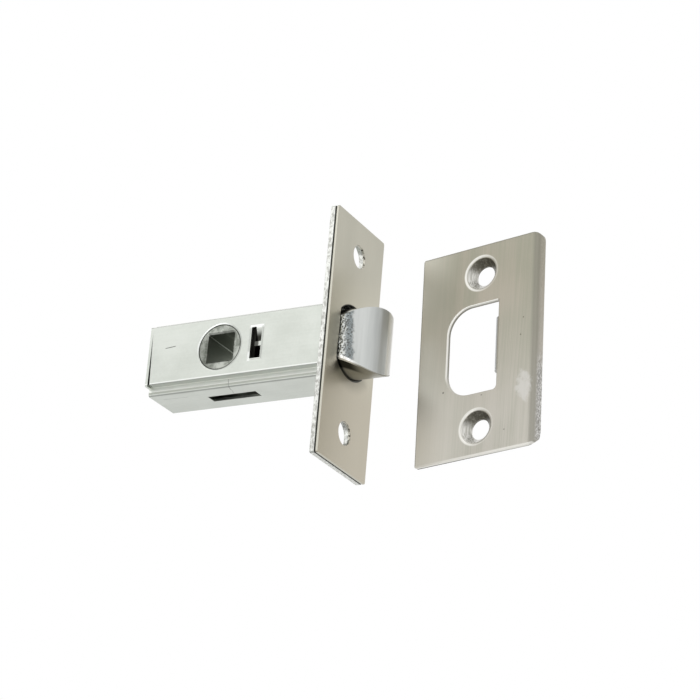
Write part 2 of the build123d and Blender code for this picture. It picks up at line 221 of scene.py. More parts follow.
plug(sheet_tree, paper_out.inputs["Surface"], Signal(sheet_tree, paper_mix.outputs[0]))
floor_mesh.materials.append(paper)

for lamp_name, place, size, watts in (
    ("key_softbox", (-350, -600, 500), 0.5, 0.5),
    ("side_softbox", (650, -250, 100), 0.35, 0.15),
):
    light = bpy.data.lights.new(lamp_name, "AREA")
    light.size = size
    light.energy = watts
    lamp = bpy.data.objects.new(lamp_name, light)
    bpy.context.scene.collection.objects.link(lamp)
    lamp.location = Vector(place) * MM
    lamp.rotation_euler = (-lamp.location).to_track_quat("-Z", "Y").to_euler()


# Case: the shell is one steel sheet folded into a channel with stepped corners, and the back is
# a second sheet whose rear end is folded over as a flap. Both are pressed first, with their
# lanced slots and hub holes, and then barrel plated in bright zinc.
class Finish:
    """A metal finish: one Principled surface with signals for what changes over it."""

    def __init__(self, name):
        self.material = bpy.data.materials.new(name)
        self.material.use_nodes = True
        self.tree = self.material.node_tree
        self.surface = self.tree.nodes["Principled BSDF"]
        self.surface.inputs["Metallic"].default_value = 1.0
        self.place = add_node(self.tree, "TexCoord", None, "Object")
        self.x, self.y, self.z = (way * 1000.0 for way in three_ways(self.tree, self.place))

    def grain(self, stretch, scale, detail=3.0, rough=0.5, turn=(0.0, 0.0, 0.0)):
        """Noise from 0 to 1 about 0.5, its grains longer where stretch is smaller."""
        turned = add_node(
            self.tree, "Mapping", None, 0, Vector=self.place, Rotation=turn, Scale=stretch
        )
        return add_node(
            self.tree, "TexNoise", None, 0,
            Vector=turned, Scale=scale, Detail=detail, Roughness=rough,
        )

    def reach(self, x, y, z):
        """How far away a place is, in millimetres, along the axes that are given."""
        parts = [way - at for way, at in ((self.x, x), (self.y, y), (self.z, z)) if at is not None]
        return sum((part * part for part in parts[1:]), parts[0] * parts[0]) ** 0.5

    def blend(self, share, low, high):
        """A colour between two, by a signal from 0 to 1."""
        node = self.tree.nodes.new("ShaderNodeMix")
        node.data_type = "RGBA"
        for place, value in ((0, share), (6, low), (7, high)):
            plug(self.tree, node.inputs[place], value)
        return Signal(self.tree, node.outputs[2])

    def finish(self, colour, roughness, relief):
        """Joins colour, roughness and a relief in millimetres to the surface."""
        plug(self.tree, self.surface.inputs["Base Color"], colour)
        plug(self.tree, self.surface.inputs["Roughness"], roughness)
        bump = add_node(self.tree, "Bump", None, 0, Strength=1.0, Distance=MM, Height=relief)
        plug(self.tree, self.surface.inputs["Normal"], bump)
        return self.material


def dressed(node, name, edge, material, segments=2):
    """The node's own shape as one welded piece with broken edges, standing for the node."""
    weld_distance = 2e-6
    flat_angle = math.radians(0.6)
    crease_angle = math.radians(30.0)
    broken_angle = math.radians(38.0)
    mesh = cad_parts[node].data.copy()
    mesh.name = name
    for layer in [layer.name for layer in mesh.attributes if layer.name == "custom_normal"]:
        mesh.attributes.remove(mesh.attributes[layer])
    shape = bmesh.new()
    shape.from_mesh(mesh)
    bmesh.ops.remove_doubles(shape, verts=shape.verts, dist=weld_distance)
    bmesh.ops.dissolve_limit(
        shape, angle_limit=flat_angle, verts=shape.verts, edges=shape.edges
    )
    for face in shape.faces:
        face.smooth = True
    shape.to_mesh(mesh)
    shape.free()
    mesh.materials.clear()
    mesh.materials.append(material)
    piece = bpy.data.objects.new(name, mesh)
    bpy.context.scene.collection.objects.link(piece)
    mesh.set_sharp_from_angle(angle=crease_angle)
    soften = piece.modifiers.new("broken_edges", "BEVEL")
    soften.width = edge * MM
    soften.segments = segments
    soften.limit_method = "ANGLE"
    soften.angle_limit = broken_angle
    even = piece.modifiers.new("even_faces", "WEIGHTED_NORMAL")
    even.mode = "FACE_AREA"
    even.weight = 100
    even.keep_sharp = True
    flat = bpy.data.meshes.new_from_object(
        piece.evaluated_get(bpy.context.evaluated_depsgraph_get())
    )
    piece.modifiers.clear()
    piece.data = flat
    flat.name = name
    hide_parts(node)
    return piece


hub_x = -35.5
hub_hole_radius = 6.55
face_front = -9.0
slot_x = -24.3
slot_half_width = 1.6
slot_half_height = 4.5
zinc_pale = (0.64, 0.665, 0.62, 1)
zinc_grey = (0.53, 0.555, 0.51, 1)
# A dark colour for real marks, and also for painted shade in gaps, recesses and openings.
dirt_and_shade = (0.035, 0.036, 0.030, 1)


def zinc_skin(metal):
    """The plate's colour, its roughness and its relief, before any marks."""
    cloud = metal.grain((1.0, 1.0, 1.0), 90.0, 2.0)
    speckle = metal.grain((1.0, 1.0, 1.0), 1400.0, 4.0, 0.7)
    rolling = metal.grain((0.06, 1.0, 1.0), 1800.0, 3.0)
    tone = cloud * 0.6 + rolling * 0.15 + speckle * 0.25
    colour = metal.blend(tone.step_up(0.3, 0.7), zinc_grey, zinc_pale)
    return (
        colour,
        0.30 + cloud * 0.10 + speckle * 0.06,
        cloud * 0.010 + rolling * 0.003 + speckle * 0.004,
    )


zinc = Finish("bright_zinc_plate")
zinc_colour, zinc_rough, zinc_relief = zinc_skin(zinc)
on_face = zinc.y.near(face_front, 0.2, 0.1)

# A scratch crosses the face and fine lines of handling lie on the bottom; the grey line along the
# top edge is painted shade.
handling_mark = (
    (zinc.z - 1.85 - (zinc.x + 51.2) * 0.09).near(0.0, 0.06, 0.08)
    * zinc.x.near(-51.2, 1.4, 0.4)
    * on_face
)
seam_wander = zinc.grain((1.0, 1.0, 1.0), 500.0, 2.0) * 1.4 - 0.7
seam_line = (
    (zinc.x + 34.2 + zinc.y * 0.18 + seam_wander).near(0.0, 0.05, 0.09)
    * zinc.y.near(-4.9, 3.0, 0.3)
    * zinc.z.near(-10.2, 1.4, 0.2)
)
tail_line = (
    (zinc.y + 3.4 - (zinc.x + 52.0) * 0.05 + seam_wander * 0.4).near(0.0, 0.05, 0.12)
    * zinc.x.near(-51.5, 3.4, 0.6)
    * zinc.z.near(-10.9, 0.3, 0.1)
)
# Painted shade: a grey line along the face's top edge.
top_edge_shade = zinc.z.near(8.42, 0.10, 0.08) * zinc.y.near(face_front, 0.5, 0.2)
marks_and_edge_shade = (handling_mark * 0.9).larger(seam_line * 0.5)
marks_and_edge_shade = marks_and_edge_shade.larger(tail_line * 0.35).larger(top_edge_shade * 0.45)
lance_depth = zinc.x.near(-23.65, 0.96, 0.05) * zinc.z.near(2.3, 2.3, 0.05)
lance_shade = (zinc.y - face_front).step_up(0.12, 0.95) * lance_depth
tab_shade = zinc.x.near(-24.4, 0.70, 0.6) * zinc.z.near(-0.45, 0.72, 0.04) * on_face

# On the folded step, the wall is painted lighter and the ledge and lower bend darker, as painted
# light and shade.
across_case = abs(zinc.y)
up_case = abs(zinc.z)
step_wall_light = across_case.near(6.7, 0.12, 0.1) * up_case.near(9.1, 0.7, 0.15)
step_ledge_shade = across_case.near(7.9, 1.0, 0.15) * up_case.near(8.45, 0.1, 0.1)
low_bend_shade = across_case.near(6.6, 0.3, 0.1) * up_case.near(10.08, 0.25, 0.12)
zinc_colour = zinc.blend(step_wall_light * 0.95, zinc_colour, (0.83, 0.85, 0.80, 1))
zinc_colour = zinc.blend(step_ledge_shade * 0.8, zinc_colour, (0.41, 0.43, 0.40, 1))
zinc_colour = zinc.blend(low_bend_shade * 0.85, zinc_colour, (0.40, 0.42, 0.37, 1))

# Painted highlights: bright rims over the slot and at its lower left, round the hub hole's upper
# left, and along the face's lower edge.
slot_reach = (abs(zinc.x - slot_x) - slot_half_width).larger(abs(zinc.z) - slot_half_height)
hub_reach = zinc.reach(hub_x, None, 0.0) - hub_hole_radius
hub_side = (zinc.x - hub_x) * -0.6 + zinc.z * 0.8
slot_top = zinc.z.near(5.0, 0.6, 0.3)
slot_low_left = zinc.x.near(-26.2, 0.35, 0.2) * zinc.z.near(-4.2, 1.4, 0.6)
slot_rim_highlight = (1.0 - slot_reach.step_up(0.40, 0.85)) * slot_top.larger(slot_low_left)
hub_rim_highlight = hub_reach.near(0.22, 0.16, 0.16) * hub_side.step_up(2.0, 5.0)
lower_edge_highlight = zinc.z.near(-8.18, 0.14, 0.10)
painted_rim_highlights = slot_rim_highlight.larger(hub_rim_highlight).larger(lower_edge_highlight * 0.7) * on_face
zinc_colour = zinc.blend(painted_rim_highlights, zinc_colour, (0.86, 0.88, 0.85, 1))
# Real handling marks and seam lines take the dark colour, and so does painted shade on the top
# edge, down the lance and on the tab's left part.
zinc_colour = zinc.blend(marks_and_edge_shade.larger(lance_shade).larger(tab_shade * 0.9), zinc_colour, dirt_and_shade)
pressed_slot = slot_reach.step_up(0.0, 0.75) * 0.20
pressed_hub = hub_reach.step_up(0.0, 0.45) * 0.12
pressed_rims = (pressed_slot + pressed_hub) * on_face
zinc_plate = zinc.finish(zinc_colour, zinc_rough, zinc_relief + pressed_rims)
shell = dressed("case_shell", "folded_shell", 0.18, zinc_plate)
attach(shell, "root")
back = dressed("case_back", "closing_back", 0.14, zinc_plate)
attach(back, "root")


# Spring plate: a stamped steel plate across the case, held by its ears in the slits of both faces
# and locked by the lances. It is near black, as painted shade, so that the slits look black.
black = Finish("slit_shade_steel_finish")
black_cloud = black.grain((1.0, 1.0, 1.0), 260.0, 3.0)
black_speckle = black.grain((1.0, 1.0, 1.0), 1700.0, 4.0, 0.7)
slit_shade_steel = black.finish(
    black.blend(black_cloud.step_up(0.3, 0.7), (0.006, 0.006, 0.005, 1), (0.020, 0.021, 0.018, 1)),
    0.42 + black_speckle * 0.2,
    black_cloud * 0.006 + black_speckle * 0.010,
)
seat = dressed("spring_plate", "spring_seat", 0.1, slit_shade_steel)
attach(seat, "root")


# Follower: a zinc casting with two wings. Its journals turn in the case's hub holes, and the square
# socket takes the spindle. The cast skin is matt and darker than the sheet round it.
cast = Finish("cast_zinc")
cast_cloud = cast.grain((1.0, 1.0, 1.0), 420.0, 4.0, 0.6)
cast_pits = cast.grain((1.0, 1.0, 1.0), 1500.0, 4.0, 0.75)
cast_tone = (cast_cloud * 0.65 + cast_pits * 0.35).step_up(0.38, 0.60)
cast_colour = cast.blend(cast_tone, (0.20, 0.215, 0.185, 1), (0.50, 0.52, 0.475, 1))
# The follower is darker towards its left and bottom.
follower_right_part = (cast.x - hub_x + cast.z * 0.3).step_up(-5.5, -1.5)
cast_colour = cast.blend((1.0 - follower_right_part) * 0.45, cast_colour, (0.10, 0.11, 0.09, 1))
# Painted shade: a dark ring at the journal's rim widens the gap line round the hub.
hub_gap_shade = cast.reach(hub_x, None, 0.0).near(6.38, 0.10, 0.12) * abs(cast.y).near(9.0, 0.2, 0.1)
cast_colour = cast.blend(hub_gap_shade * 0.6, cast_colour, dirt_and_shade)
across_socket = abs(cast.x - hub_x).larger(abs(cast.z))
down_socket = 9.0 - abs(cast.y)
socket_dark = across_socket.near(0.0, 4.06, 0.03) * down_socket.step_up(0.55, 0.95)
# Inside the socket a painted highlight runs along an inner edge.
socket_edge_highlight = (cast.x - hub_x - 2.3 + cast.z * 0.25).near(0.0, 0.25, 0.5) * cast_cloud
socket_colour = cast.blend(socket_edge_highlight * 0.8, (0.24, 0.26, 0.22, 1), (0.50, 0.53, 0.47, 1))
cast_colour = cast.blend(socket_dark * 0.92, cast_colour, socket_colour)
cast_skin = cast.finish(
    cast_colour, 0.36 + cast_pits * 0.2, cast_cloud * 0.02 + cast_pits * 0.015
)
hub = dressed("follower", "winged_follower", 0.12, cast_skin)
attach(hub, "follower")


# Latch bolt: a zinc casting with two flats and a convex bevel, satin nickel plated. The skin is
# drawn smooth on the bevel, and hammered next to the forend, where it was never polished.
bevel_axis_x = -3.18
bevel_axis_y = 5.475
bolt_drop = 0.3
nickel = Finish("satin_nickel_bolt")
bolt_cloud = nickel.grain((1.0, 1.0, 0.35), 130.0, 2.0)
bolt_line = nickel.grain((1.0, 1.0, 0.05), 1600.0, 3.0)
bolt_edge = nickel.grain((1.0, 1.0, 1.0), 700.0, 3.0) * 1.6 - 0.8
hammer_blows = add_node(
    nickel.tree, "TexVoronoi", {"feature": "SMOOTH_F1"}, 0, Vector=nickel.place, Scale=1900.0
)
hammer_grit = nickel.grain((1.0, 1.0, 1.0), 2600.0, 3.0, 0.7)
from_bevel_axis = nickel.reach(bevel_axis_x, bevel_axis_y, None)
from_bolt_axis = nickel.reach(None, 0.0, -bolt_drop)
on_round = from_bolt_axis.step_up(9.08, 9.24)
slanted = nickel.x + bolt_edge + nickel.z * 0.06
hammered = (1.0 - slanted.step_up(2.9, 3.8)) * (1.0 - on_round)
bolt_tone = (bolt_cloud * 0.5 + bolt_line * 0.5).step_up(0.3, 0.7)
bolt_colour = nickel.blend(bolt_tone, (0.55, 0.57, 0.555, 1), (0.64, 0.655, 0.64, 1))
# Painted highlight: the nose's end is made bright.
nose_highlight = nickel.y.step_up(1.7, 2.4) * nickel.x.step_up(6.0, 8.0)
bolt_colour = nickel.blend(nose_highlight, bolt_colour, (0.86, 0.86, 0.84, 1))
nose_shade = nickel.y.near(0.9, 0.7, 0.8) * nickel.x.step_up(6.0, 8.0)
bolt_colour = nickel.blend(nose_shade * 0.4, bolt_colour, (0.42, 0.42, 0.39, 1))
# Painted shade darkens the bolt's round underside.
underside_shade = on_round * (1.0 - nickel.z.step_up(-7.0, -3.0))
bolt_colour = nickel.blend(underside_shade * 0.9, bolt_colour, (0.30, 0.29, 0.24, 1))
edge_start = 1.0 - nickel.x.step_up(2.5, 6.0)
edge_shade = from_bevel_axis.near(11.9, 0.9, 0.9) * underside_shade * edge_start
bolt_colour = nickel.blend(edge_shade * 0.95, bolt_colour, (0.02, 0.02, 0.014, 1))
# Painted highlight: a white line along the bevel's lower edge.
low_edge_highlight = from_bevel_axis.step_up(12.50, 12.62) * from_bolt_axis.step_up(8.80, 8.95)
low_edge_highlight = low_edge_highlight * edge_start * (1.0 - nickel.z.step_up(-3.0, -1.0))
# Painted shade on the round's top beside the cover.
high_round_shade = on_round * nickel.z.step_up(2.0, 3.0) * (1.0 - nickel.x.step_up(1.2, 2.2))
bolt_colour = nickel.blend(high_round_shade * 0.95, bolt_colour, (0.03, 0.03, 0.022, 1))
hammer_colour = nickel.blend(
    slanted.step_up(1.0, 2.2), (0.70, 0.72, 0.70, 1), (0.27, 0.30, 0.305, 1)
)
hammer_tone = (hammer_grit * 0.6 + hammer_blows * 0.5).step_up(0.40, 0.56)
hammer_colour = nickel.blend(hammer_tone, (0.13, 0.135, 0.13, 1), hammer_colour)
bolt_colour = nickel.blend(hammered, bolt_colour, hammer_colour)
bolt_colour = nickel.blend(low_edge_highlight, bolt_colour, (0.98, 0.98, 0.96, 1))
bolt_finish = nickel.finish(
    bolt_colour,
    0.30 + bolt_line * 0.06 - hammered * 0.10,
    bolt_line * 0.004 + hammered * (hammer_blows * 0.22 + hammer_grit * 0.05),
)
bolt = dressed("latch_bolt", "bevelled_bolt", 0.28, bolt_finish, 3)
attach(bolt, "bolt")


# Stirrup: a steel strip folded round the follower and riveted to the bolt's fork. Its tongues are
# lanced from the windows and bent in, so that the wings can push them.
dull = Finish("dull_zinc_plate")
dull_cloud = dull.grain((1.0, 1.0, 1.0), 160.0, 3.0)
dull_speckle = dull.grain((1.0, 1.0, 1.0), 1700.0, 4.0, 0.7)
dull_plate = dull.finish(
    dull.blend(dull_cloud.step_up(0.3, 0.7), (0.30, 0.31, 0.28, 1), (0.42, 0.43, 0.39, 1)),
    0.36 + dull_speckle * 0.2,
    dull_cloud * 0.008 + dull_speckle * 0.012,
)
arms = dressed("stirrup", "folded_stirrup", 0.12, dull_plate)
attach(arms, "bolt")


# Stirrup rivets: soft steel pins with a set head at each end. One pin is turned on a short line
# whose width follows the head's round, and a tree of instances sets it above and below.
def sized_tree(name, sizes):
    """A tree of Geometry Nodes with one named input for each size, and the way to them."""
    tree = bpy.data.node_groups.new(name, "GeometryNodeTree")
    for label, value in sizes.items():
        kind = "NodeSocketInt" if isinstance(value, int) else "NodeSocketFloat"
        tree.interface.new_socket(label, in_out="INPUT", socket_type=kind)
    tree.interface.new_socket("Metal", in_out="INPUT", socket_type="NodeSocketMaterial")
    tree.interface.new_socket("Geometry", in_out="OUTPUT", socket_type="NodeSocketGeometry")
    entry = tree.nodes.new("NodeGroupInput")
    return tree, lambda label: Signal(tree, entry.outputs[label])


def end_tree(tree, shape, metal):
    """Ends a tree with its instances made real and its metal set."""
    real = add_node(tree, "GeometryNodeRealizeInstances", None, 0, Geometry=shape)
    coated = add_node(tree, "GeometryNodeSetMaterial", None, 0, Geometry=real, Material=metal)
    plug(tree, tree.nodes.new("NodeGroupOutput").inputs["Geometry"], coated)


def drawn_wire(tree, line, place, width, sides):
    """A line of points sent to their places, as a closed round bar of the given half width."""
    moved = add_node(tree, "GeometryNodeSetPosition", None, 0, Geometry=line, Position=place)
    path = add_node(tree, "GeometryNodeMeshToCurve", None, 0, Mesh=moved)
    ring = add_node(
        tree, "GeometryNodeCurvePrimitiveCircle", None, 0, Resolution=sides, Radius=1.0
    )
    return add_node(
        tree, "GeometryNodeCurveToMesh", None, 0,
        Curve=path, Profile_Curve=ring, Scale=width, Fill_Caps=True,
    )


def grown(name, tree, sizes, metal, nodes):
    """The plain mesh that a tree makes at the given sizes, standing for some nodes."""
    crease_angle = math.radians(40.0)
    piece =bpy.data.objects.new(name, bpy.data.meshes.new(name))
    bpy.context.scene.collection.objects.link(piece)
    maker = piece.modifiers.new("maker", "NODES")
    maker.node_group = tree
    for item in tree.interface.items_tree:
        if item.in_out == "INPUT":
            maker[item.identifier] = metal if item.name == "Metal" else sizes[item.name]
    made = bpy.data.meshes.new_from_object(
        piece.evaluated_get(bpy.context.evaluated_depsgraph_get())
    )
    piece.modifiers.clear()
    piece.data = made
    made.name = name
    made.shade_smooth()
    made.set_sharp_from_angle(angle=crease_angle)
    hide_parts(*nodes)
    return piece


rivet_sizes = {
    "Setback": 9.3 * MM,
    "Rise": 6.0 * MM,
    "Grip": 11.15 * MM,
    "Pin Radius": 0.9 * MM,
    "Head Radius": 1.4 * MM,
    "Head Height": 0.6 * MM,
}
rivet_tree, rivet = sized_tree("set_rivets", rivet_sizes)
turning_points = 14
head_round = 1.25
along = add_node(rivet_tree, "GeometryNodeInputIndex") - (turning_points - 1) / 2
from_middle = abs(along) - 0.5
in_head = from_middle.math("GREATER_THAN", 0.5)
round_angle = (from_middle - 1.0).larger(0.0) * (head_round / 5)
head_width = rivet("Head Radius") * round_angle.math("COSINE") ** 0.5
rivet_width = rivet("Pin Radius") + in_head * (head_width - rivet("Pin Radius"))
head_rise = rivet("Head Height") * round_angle.math("SINE") / math.sin(head_round)
rivet_along = along.math("SIGN") * (
    rivet("Grip") / 2 - (1.0 - in_head) * 0.02 * MM + head_rise
)
pin = drawn_wire(
    rivet_tree,
    add_node(rivet_tree, "GeometryNodeMeshLine", None, 0, Count=turning_points, Offset=(0, 0, 0)),
    add_node(rivet_tree, "CombineXYZ", None, 0, Y=rivet_along),
    rivet_width,
    40,
)
rivet_places = add_node(
    rivet_tree, "GeometryNodeMeshLine", None, 0,
    Count=2,
    Start_Location=add_node(
        rivet_tree, "CombineXYZ", None, 0, X=rivet("Setback") * -1.0, Z=rivet("Rise") * -1.0
    ),
    Offset=add_node(rivet_tree, "CombineXYZ", None, 0, Z=rivet("Rise") * 2.0),
)
end_tree(
    rivet_tree,
    add_node(
        rivet_tree, "GeometryNodeInstanceOnPoints", None, 0, Points=rivet_places, Instance=pin
    ),
    rivet("Metal"),
)
soft_steel = Finish("bright_steel_pin")
pin_cloud = soft_steel.grain((1.0, 1.0, 1.0), 900.0, 3.0)
pin_metal = soft_steel.finish(
    soft_steel.blend(pin_cloud.step_up(0.3, 0.7), (0.42, 0.42, 0.40, 1), (0.55, 0.55, 0.53, 1)),
    0.30 + pin_cloud * 0.12,
    pin_cloud * 0.02,
)
rivets = grown(
    "set_rivets", rivet_tree, rivet_sizes, pin_metal, ("stirrup_rivet_upper", "stirrup_rivet_lower")
)
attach(rivets, "bolt")


# Bolt spring: drawn wire coiled on a mandrel, with closed ends, pressed between the spring plate
# and the floor of the bolt's bore. Its pitch opens over half a turn at each end.
spring_sizes = {
    "Turns": 11.0,
    "Steps": 32,
    "Closed Turns": 0.75,
    "Closed Pitch": 0.93 * MM,
    "Low": -24.25 * MM,
    "High": -2.95 * MM,
    "Coil Radius": 3.626 * MM,
    "Wire Radius": 0.45 * MM,
}
spring_tree, spring = sized_tree("closed_end_coil", spring_sizes)
turn_count = spring("Turns")
turn = add_node(spring_tree, "GeometryNodeInputIndex") / spring("Steps")


def opened(turns_in):
    """How many open turns the wire has made, so far from its nearest end."""
    past = (turns_in - spring("Closed Turns")).larger(0.0)
    opening = past.math("MINIMUM", 0.5)
    return opening * opening + (past - 0.5).larger(0.0)


closed_share = spring("Closed Turns") * 2.0 + 0.5
open_turns = turn_count - closed_share
open_so_far = (
    opened(turn) + open_turns - opened(turn_count - turn) - (turn - closed_share / 2)
)
spread = (
    spring("High") - spring("Low") - turn_count * spring("Closed Pitch")
) / open_turns
coil_place = add_node(
    spring_tree, "CombineXYZ", None, 0,
    X=spring("Low") + turn * spring("Closed Pitch") + open_so_far * spread,
    Y=spring("Coil Radius") * (turn * math.tau).math("COSINE"),
    Z=spring("Coil Radius") * (turn * math.tau).math("SINE"),
)
coil_line = add_node(
    spring_tree, "GeometryNodeMeshLine", None, 0,
    Count=turn_count * spring("Steps") + 1.5, Offset=(0, 0, 0),
)
end_tree(
    spring_tree,
    drawn_wire(spring_tree, coil_line, coil_place, spring("Wire Radius"), 14),
    spring("Metal"),
)
coil_wire = Finish("drawn_spring_wire")
wire_cloud = coil_wire.grain((1.0, 1.0, 1.0), 700.0, 3.0)
coil_metal = coil_wire.finish(
    coil_wire.blend(wire_cloud.step_up(0.3, 0.7), (0.22, 0.22, 0.23, 1), (0.34, 0.34, 0.35, 1)),
    0.28 + wire_cloud * 0.14,
    wire_cloud * 0.02,
)
coil = grown("coiled_spring", spring_tree, spring_sizes, coil_metal, ("bolt_spring",))
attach(coil, "bolt")
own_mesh(coil)


# Forend backing: a steel strip, blanked and zinc plated, behind the thin cover. Its sheared edges
# are bright and torn, and its front edge is broken, with a line of painted shade under the cover.
opening_radius = 10.08
opening_rise = 0.3
screw_rise = 25.25


def bolt_opening(metal):
    """Millimetres outwards from the edge of the bolt's opening, a circle with two flats."""
    from_circle = metal.reach(None, 0.0, opening_rise) - opening_radius
    return from_circle.larger(abs(metal.y + 0.4) - 6.8)


def from_screw(metal):
    """Millimetres from the axis of the nearer screw hole."""
    return (metal.y * metal.y + (abs(metal.z) - screw_rise) ** 2.0) ** 0.5


def outside_forend(metal, half_width, half_height):
    """Millimetres outwards from an upright rectangle about the forend's middle."""
    return (abs(metal.y) - half_width).larger(abs(metal.z) - half_height)


strip = Finish("sheared_zinc_strip")
plain_strip, strip_rough, strip_relief = zinc_skin(strip)
tear = strip.grain((1.0, 1.0, 0.45), 1900.0, 4.0, 0.7)
round_strip = outside_forend(strip, 12.95, 34.95).step_up(-0.03, 0.02)
round_groove = outside_forend(strip, 12.55, 34.55).step_up(-0.04, 0.0)
groove = strip.x.near(-0.92, 0.20, 0.05) * round_groove
in_strip_hole = 1.0 - from_screw(strip).step_up(4.25, 4.32)
before_back = strip.x.step_up(-2.43, -2.37)
# Painted shade: the strip's opening, seen through the cover's, is coloured dark.
strip_opening_shade = (1.0 - bolt_opening(strip).step_up(0.04, 0.10)) * before_back
sheared = round_strip.larger(in_strip_hole)
torn =strip.blend(tear.step_up(0.38, 0.58), (0.42, 0.42, 0.39, 1), (0.76, 0.77, 0.735, 1))
strip_colour = strip.blend(sheared, plain_strip, torn)
# The groove behind the cover's edge and the wall of the strip's opening take the dark colour as
# painted shade.
strip_colour = strip.blend(groove.larger(strip_opening_shade) * 0.95, strip_colour, dirt_and_shade)
sheared_strip = strip.finish(strip_colour, strip_rough, strip_relief + tear * sheared * 0.03)
backing = dressed("forend_backing", "plated_backing", 0.08, sheared_strip)

# The cover's opening is higher than the case. What closes it there is hidden, and no light comes
# through, so the top of the strip's own opening is taken to be flat, just below the case's top.
opening_top = 9.75 * MM
opening_edge = 0.12 * MM
for corner in backing.data.vertices:
    outside = math.hypot(corner.co.y, corner.co.z - opening_rise * MM) - opening_radius * MM
    if outside < opening_edge:
        corner.co.z = min(corner.co.z, opening_top + max(outside, 0.0))
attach(backing, "root")


# Forend cover: thin steel sheet in satin nickel, laid over the backing. Its blanked edges are
# bright, its screw holes are burred, and painted shade edges the bolt's opening and falls below it.
satin = Finish("satin_nickel_sheet")
satin_cloud = satin.grain((1.0, 1.0, 0.5), 70.0, 2.0)
satin_line = satin.grain((1.0, 1.0, 0.04), 1500.0, 4.0, 0.6)
satin_tone = satin_cloud * 0.7 + satin_line * 0.3
satin_colour = satin.blend(
    satin_tone.step_up(0.3, 0.7), (0.48, 0.465, 0.39, 1), (0.54, 0.52, 0.44, 1)
)
satin_colour = satin.blend(
    1.0 - satin.z.step_up(8.0, 24.0), satin_colour, (0.58, 0.555, 0.46, 1)
)
satin_colour = satin.blend(
    1.0 - satin.z.step_up(-16.0, 2.0), satin_colour, (0.525, 0.485, 0.395, 1)
)
# Painted shadow: the sheet darkens below the bolt's opening.
shadow_below_bolt = (1.0 - bolt_opening(satin).step_up(0.0, 4.5)) * (1.0 - satin.z.step_up(-9.0, -4.0))
satin_colour = satin.blend(shadow_below_bolt * 0.5, satin_colour, (0.17, 0.155, 0.12, 1))
round_cover = outside_forend(satin, 12.97, 34.97).step_up(-0.03, 0.02)
satin_burr = satin.grain((1.0, 1.0, 1.0), 1100.0, 4.0, 0.7)
in_cover_hole = 1.0 - from_screw(satin).step_up(3.22, 3.28)
# Painted shade: a dark band edges the bolt's opening, wider low down.
lower_arc_widening = 1.0 - satin.z.step_up(-3.0, -1.0)
cover_opening_shade = 1.0 - (bolt_opening(satin) - lower_arc_widening * 0.25).step_up(0.14, 0.34)
satin_colour = satin.blend(round_cover, satin_colour, (0.56, 0.545, 0.47, 1))
satin_colour = satin.blend(
    in_cover_hole,
    satin_colour,
    satin.blend(satin_burr.step_up(0.42, 0.58), (0.07, 0.065, 0.05, 1), (0.62, 0.60, 0.52, 1)),
)
satin_colour = satin.blend(cover_opening_shade * 0.95, satin_colour, dirt_and_shade)
satin_sheet = satin.finish(
    satin_colour,
    0.34 + satin_line * 0.10,
    satin_line * 0.004 + satin_cloud * 0.006 + satin_burr * in_cover_hole * 0.05,
)
cover = dressed("forend_cover", "satin_cover", 0.10, satin_sheet)
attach(cover, "root")


# Strike plate: steel sheet blanked with its aperture, dimples and tang, its lip rolled over, then
# brushed lengthwise and nickel plated. It stands loose beside the latch.
strike_corner = Vector((14.21, 11.84, -2.52))
strike_across = Vector((0.98850517, -0.14605611, 0.03905314))
strike_upward = Vector((-0.03663696, 0.01919744, 0.99914423))
brushed = Finish("brushed_nickel_strike")
brushed.surface.inputs["Metallic"].default_value = 0.6


def along_strike(way):
    """Millimetres from the strike's corner along one of its own directions."""
    return (
        brushed.x * way.x + brushed.y * way.y + brushed.z * way.z - strike_corner.dot(way)
    )


across = along_strike(strike_across)
upward = along_strike(strike_upward)
outward = along_strike(strike_across.cross(strike_upward))
brush_turn = (0.0, math.radians(2.1), 0.0)
brush_line = brushed.grain((1.0, 1.0, 0.012), 2600.0, 4.0, 0.6, brush_turn)
brush_band = brushed.grain((1.0, 1.0, 0.05), 160.0, 2.0, 0.5, brush_turn)
strike_cloud = brushed.grain((1.0, 1.0, 1.0), 60.0, 2.0)
strike_speckle = brushed.grain((1.0, 1.0, 1.0), 1300.0, 4.0, 0.7)
strike_tone = brush_line * 0.35 + brush_band * 0.40 + strike_cloud * 0.25
strike_top_shade = brushed.blend(
    strike_tone.step_up(0.38, 0.62), (0.32, 0.315, 0.245, 1), (0.40, 0.365, 0.295, 1)
)
strike_bottom_light = brushed.blend(
    strike_tone.step_up(0.38, 0.62), (0.43, 0.425, 0.36, 1), (0.55, 0.525, 0.47, 1)
)
# Painted light: the front is darker at the top and lighter at the bottom.
strike_colour = brushed.blend(upward.step_up(-30.0, 24.0), strike_bottom_light, strike_top_shade)
# Painted light: the left part of the front is lighter, and lighter again at the lower left.
strike_colour = brushed.blend(
    (1.0 - across.step_up(-2.0, 13.0)) * 0.75, strike_colour, (0.68, 0.66, 0.575, 1)
)
low_left_light = (1.0 - upward.step_up(-24.0, 4.0)) * (1.0 - across.step_up(2.0, 20.0))
strike_colour = brushed.blend(low_left_light * 0.65, strike_colour, (0.82, 0.80, 0.74, 1))
# Painted shade: a dark band along the lip's bend.
bend_shade = across.near(36.1, 0.35, 1.3)
strike_colour = brushed.blend(bend_shade * 0.65, strike_colour, (0.20, 0.195, 0.16, 1))
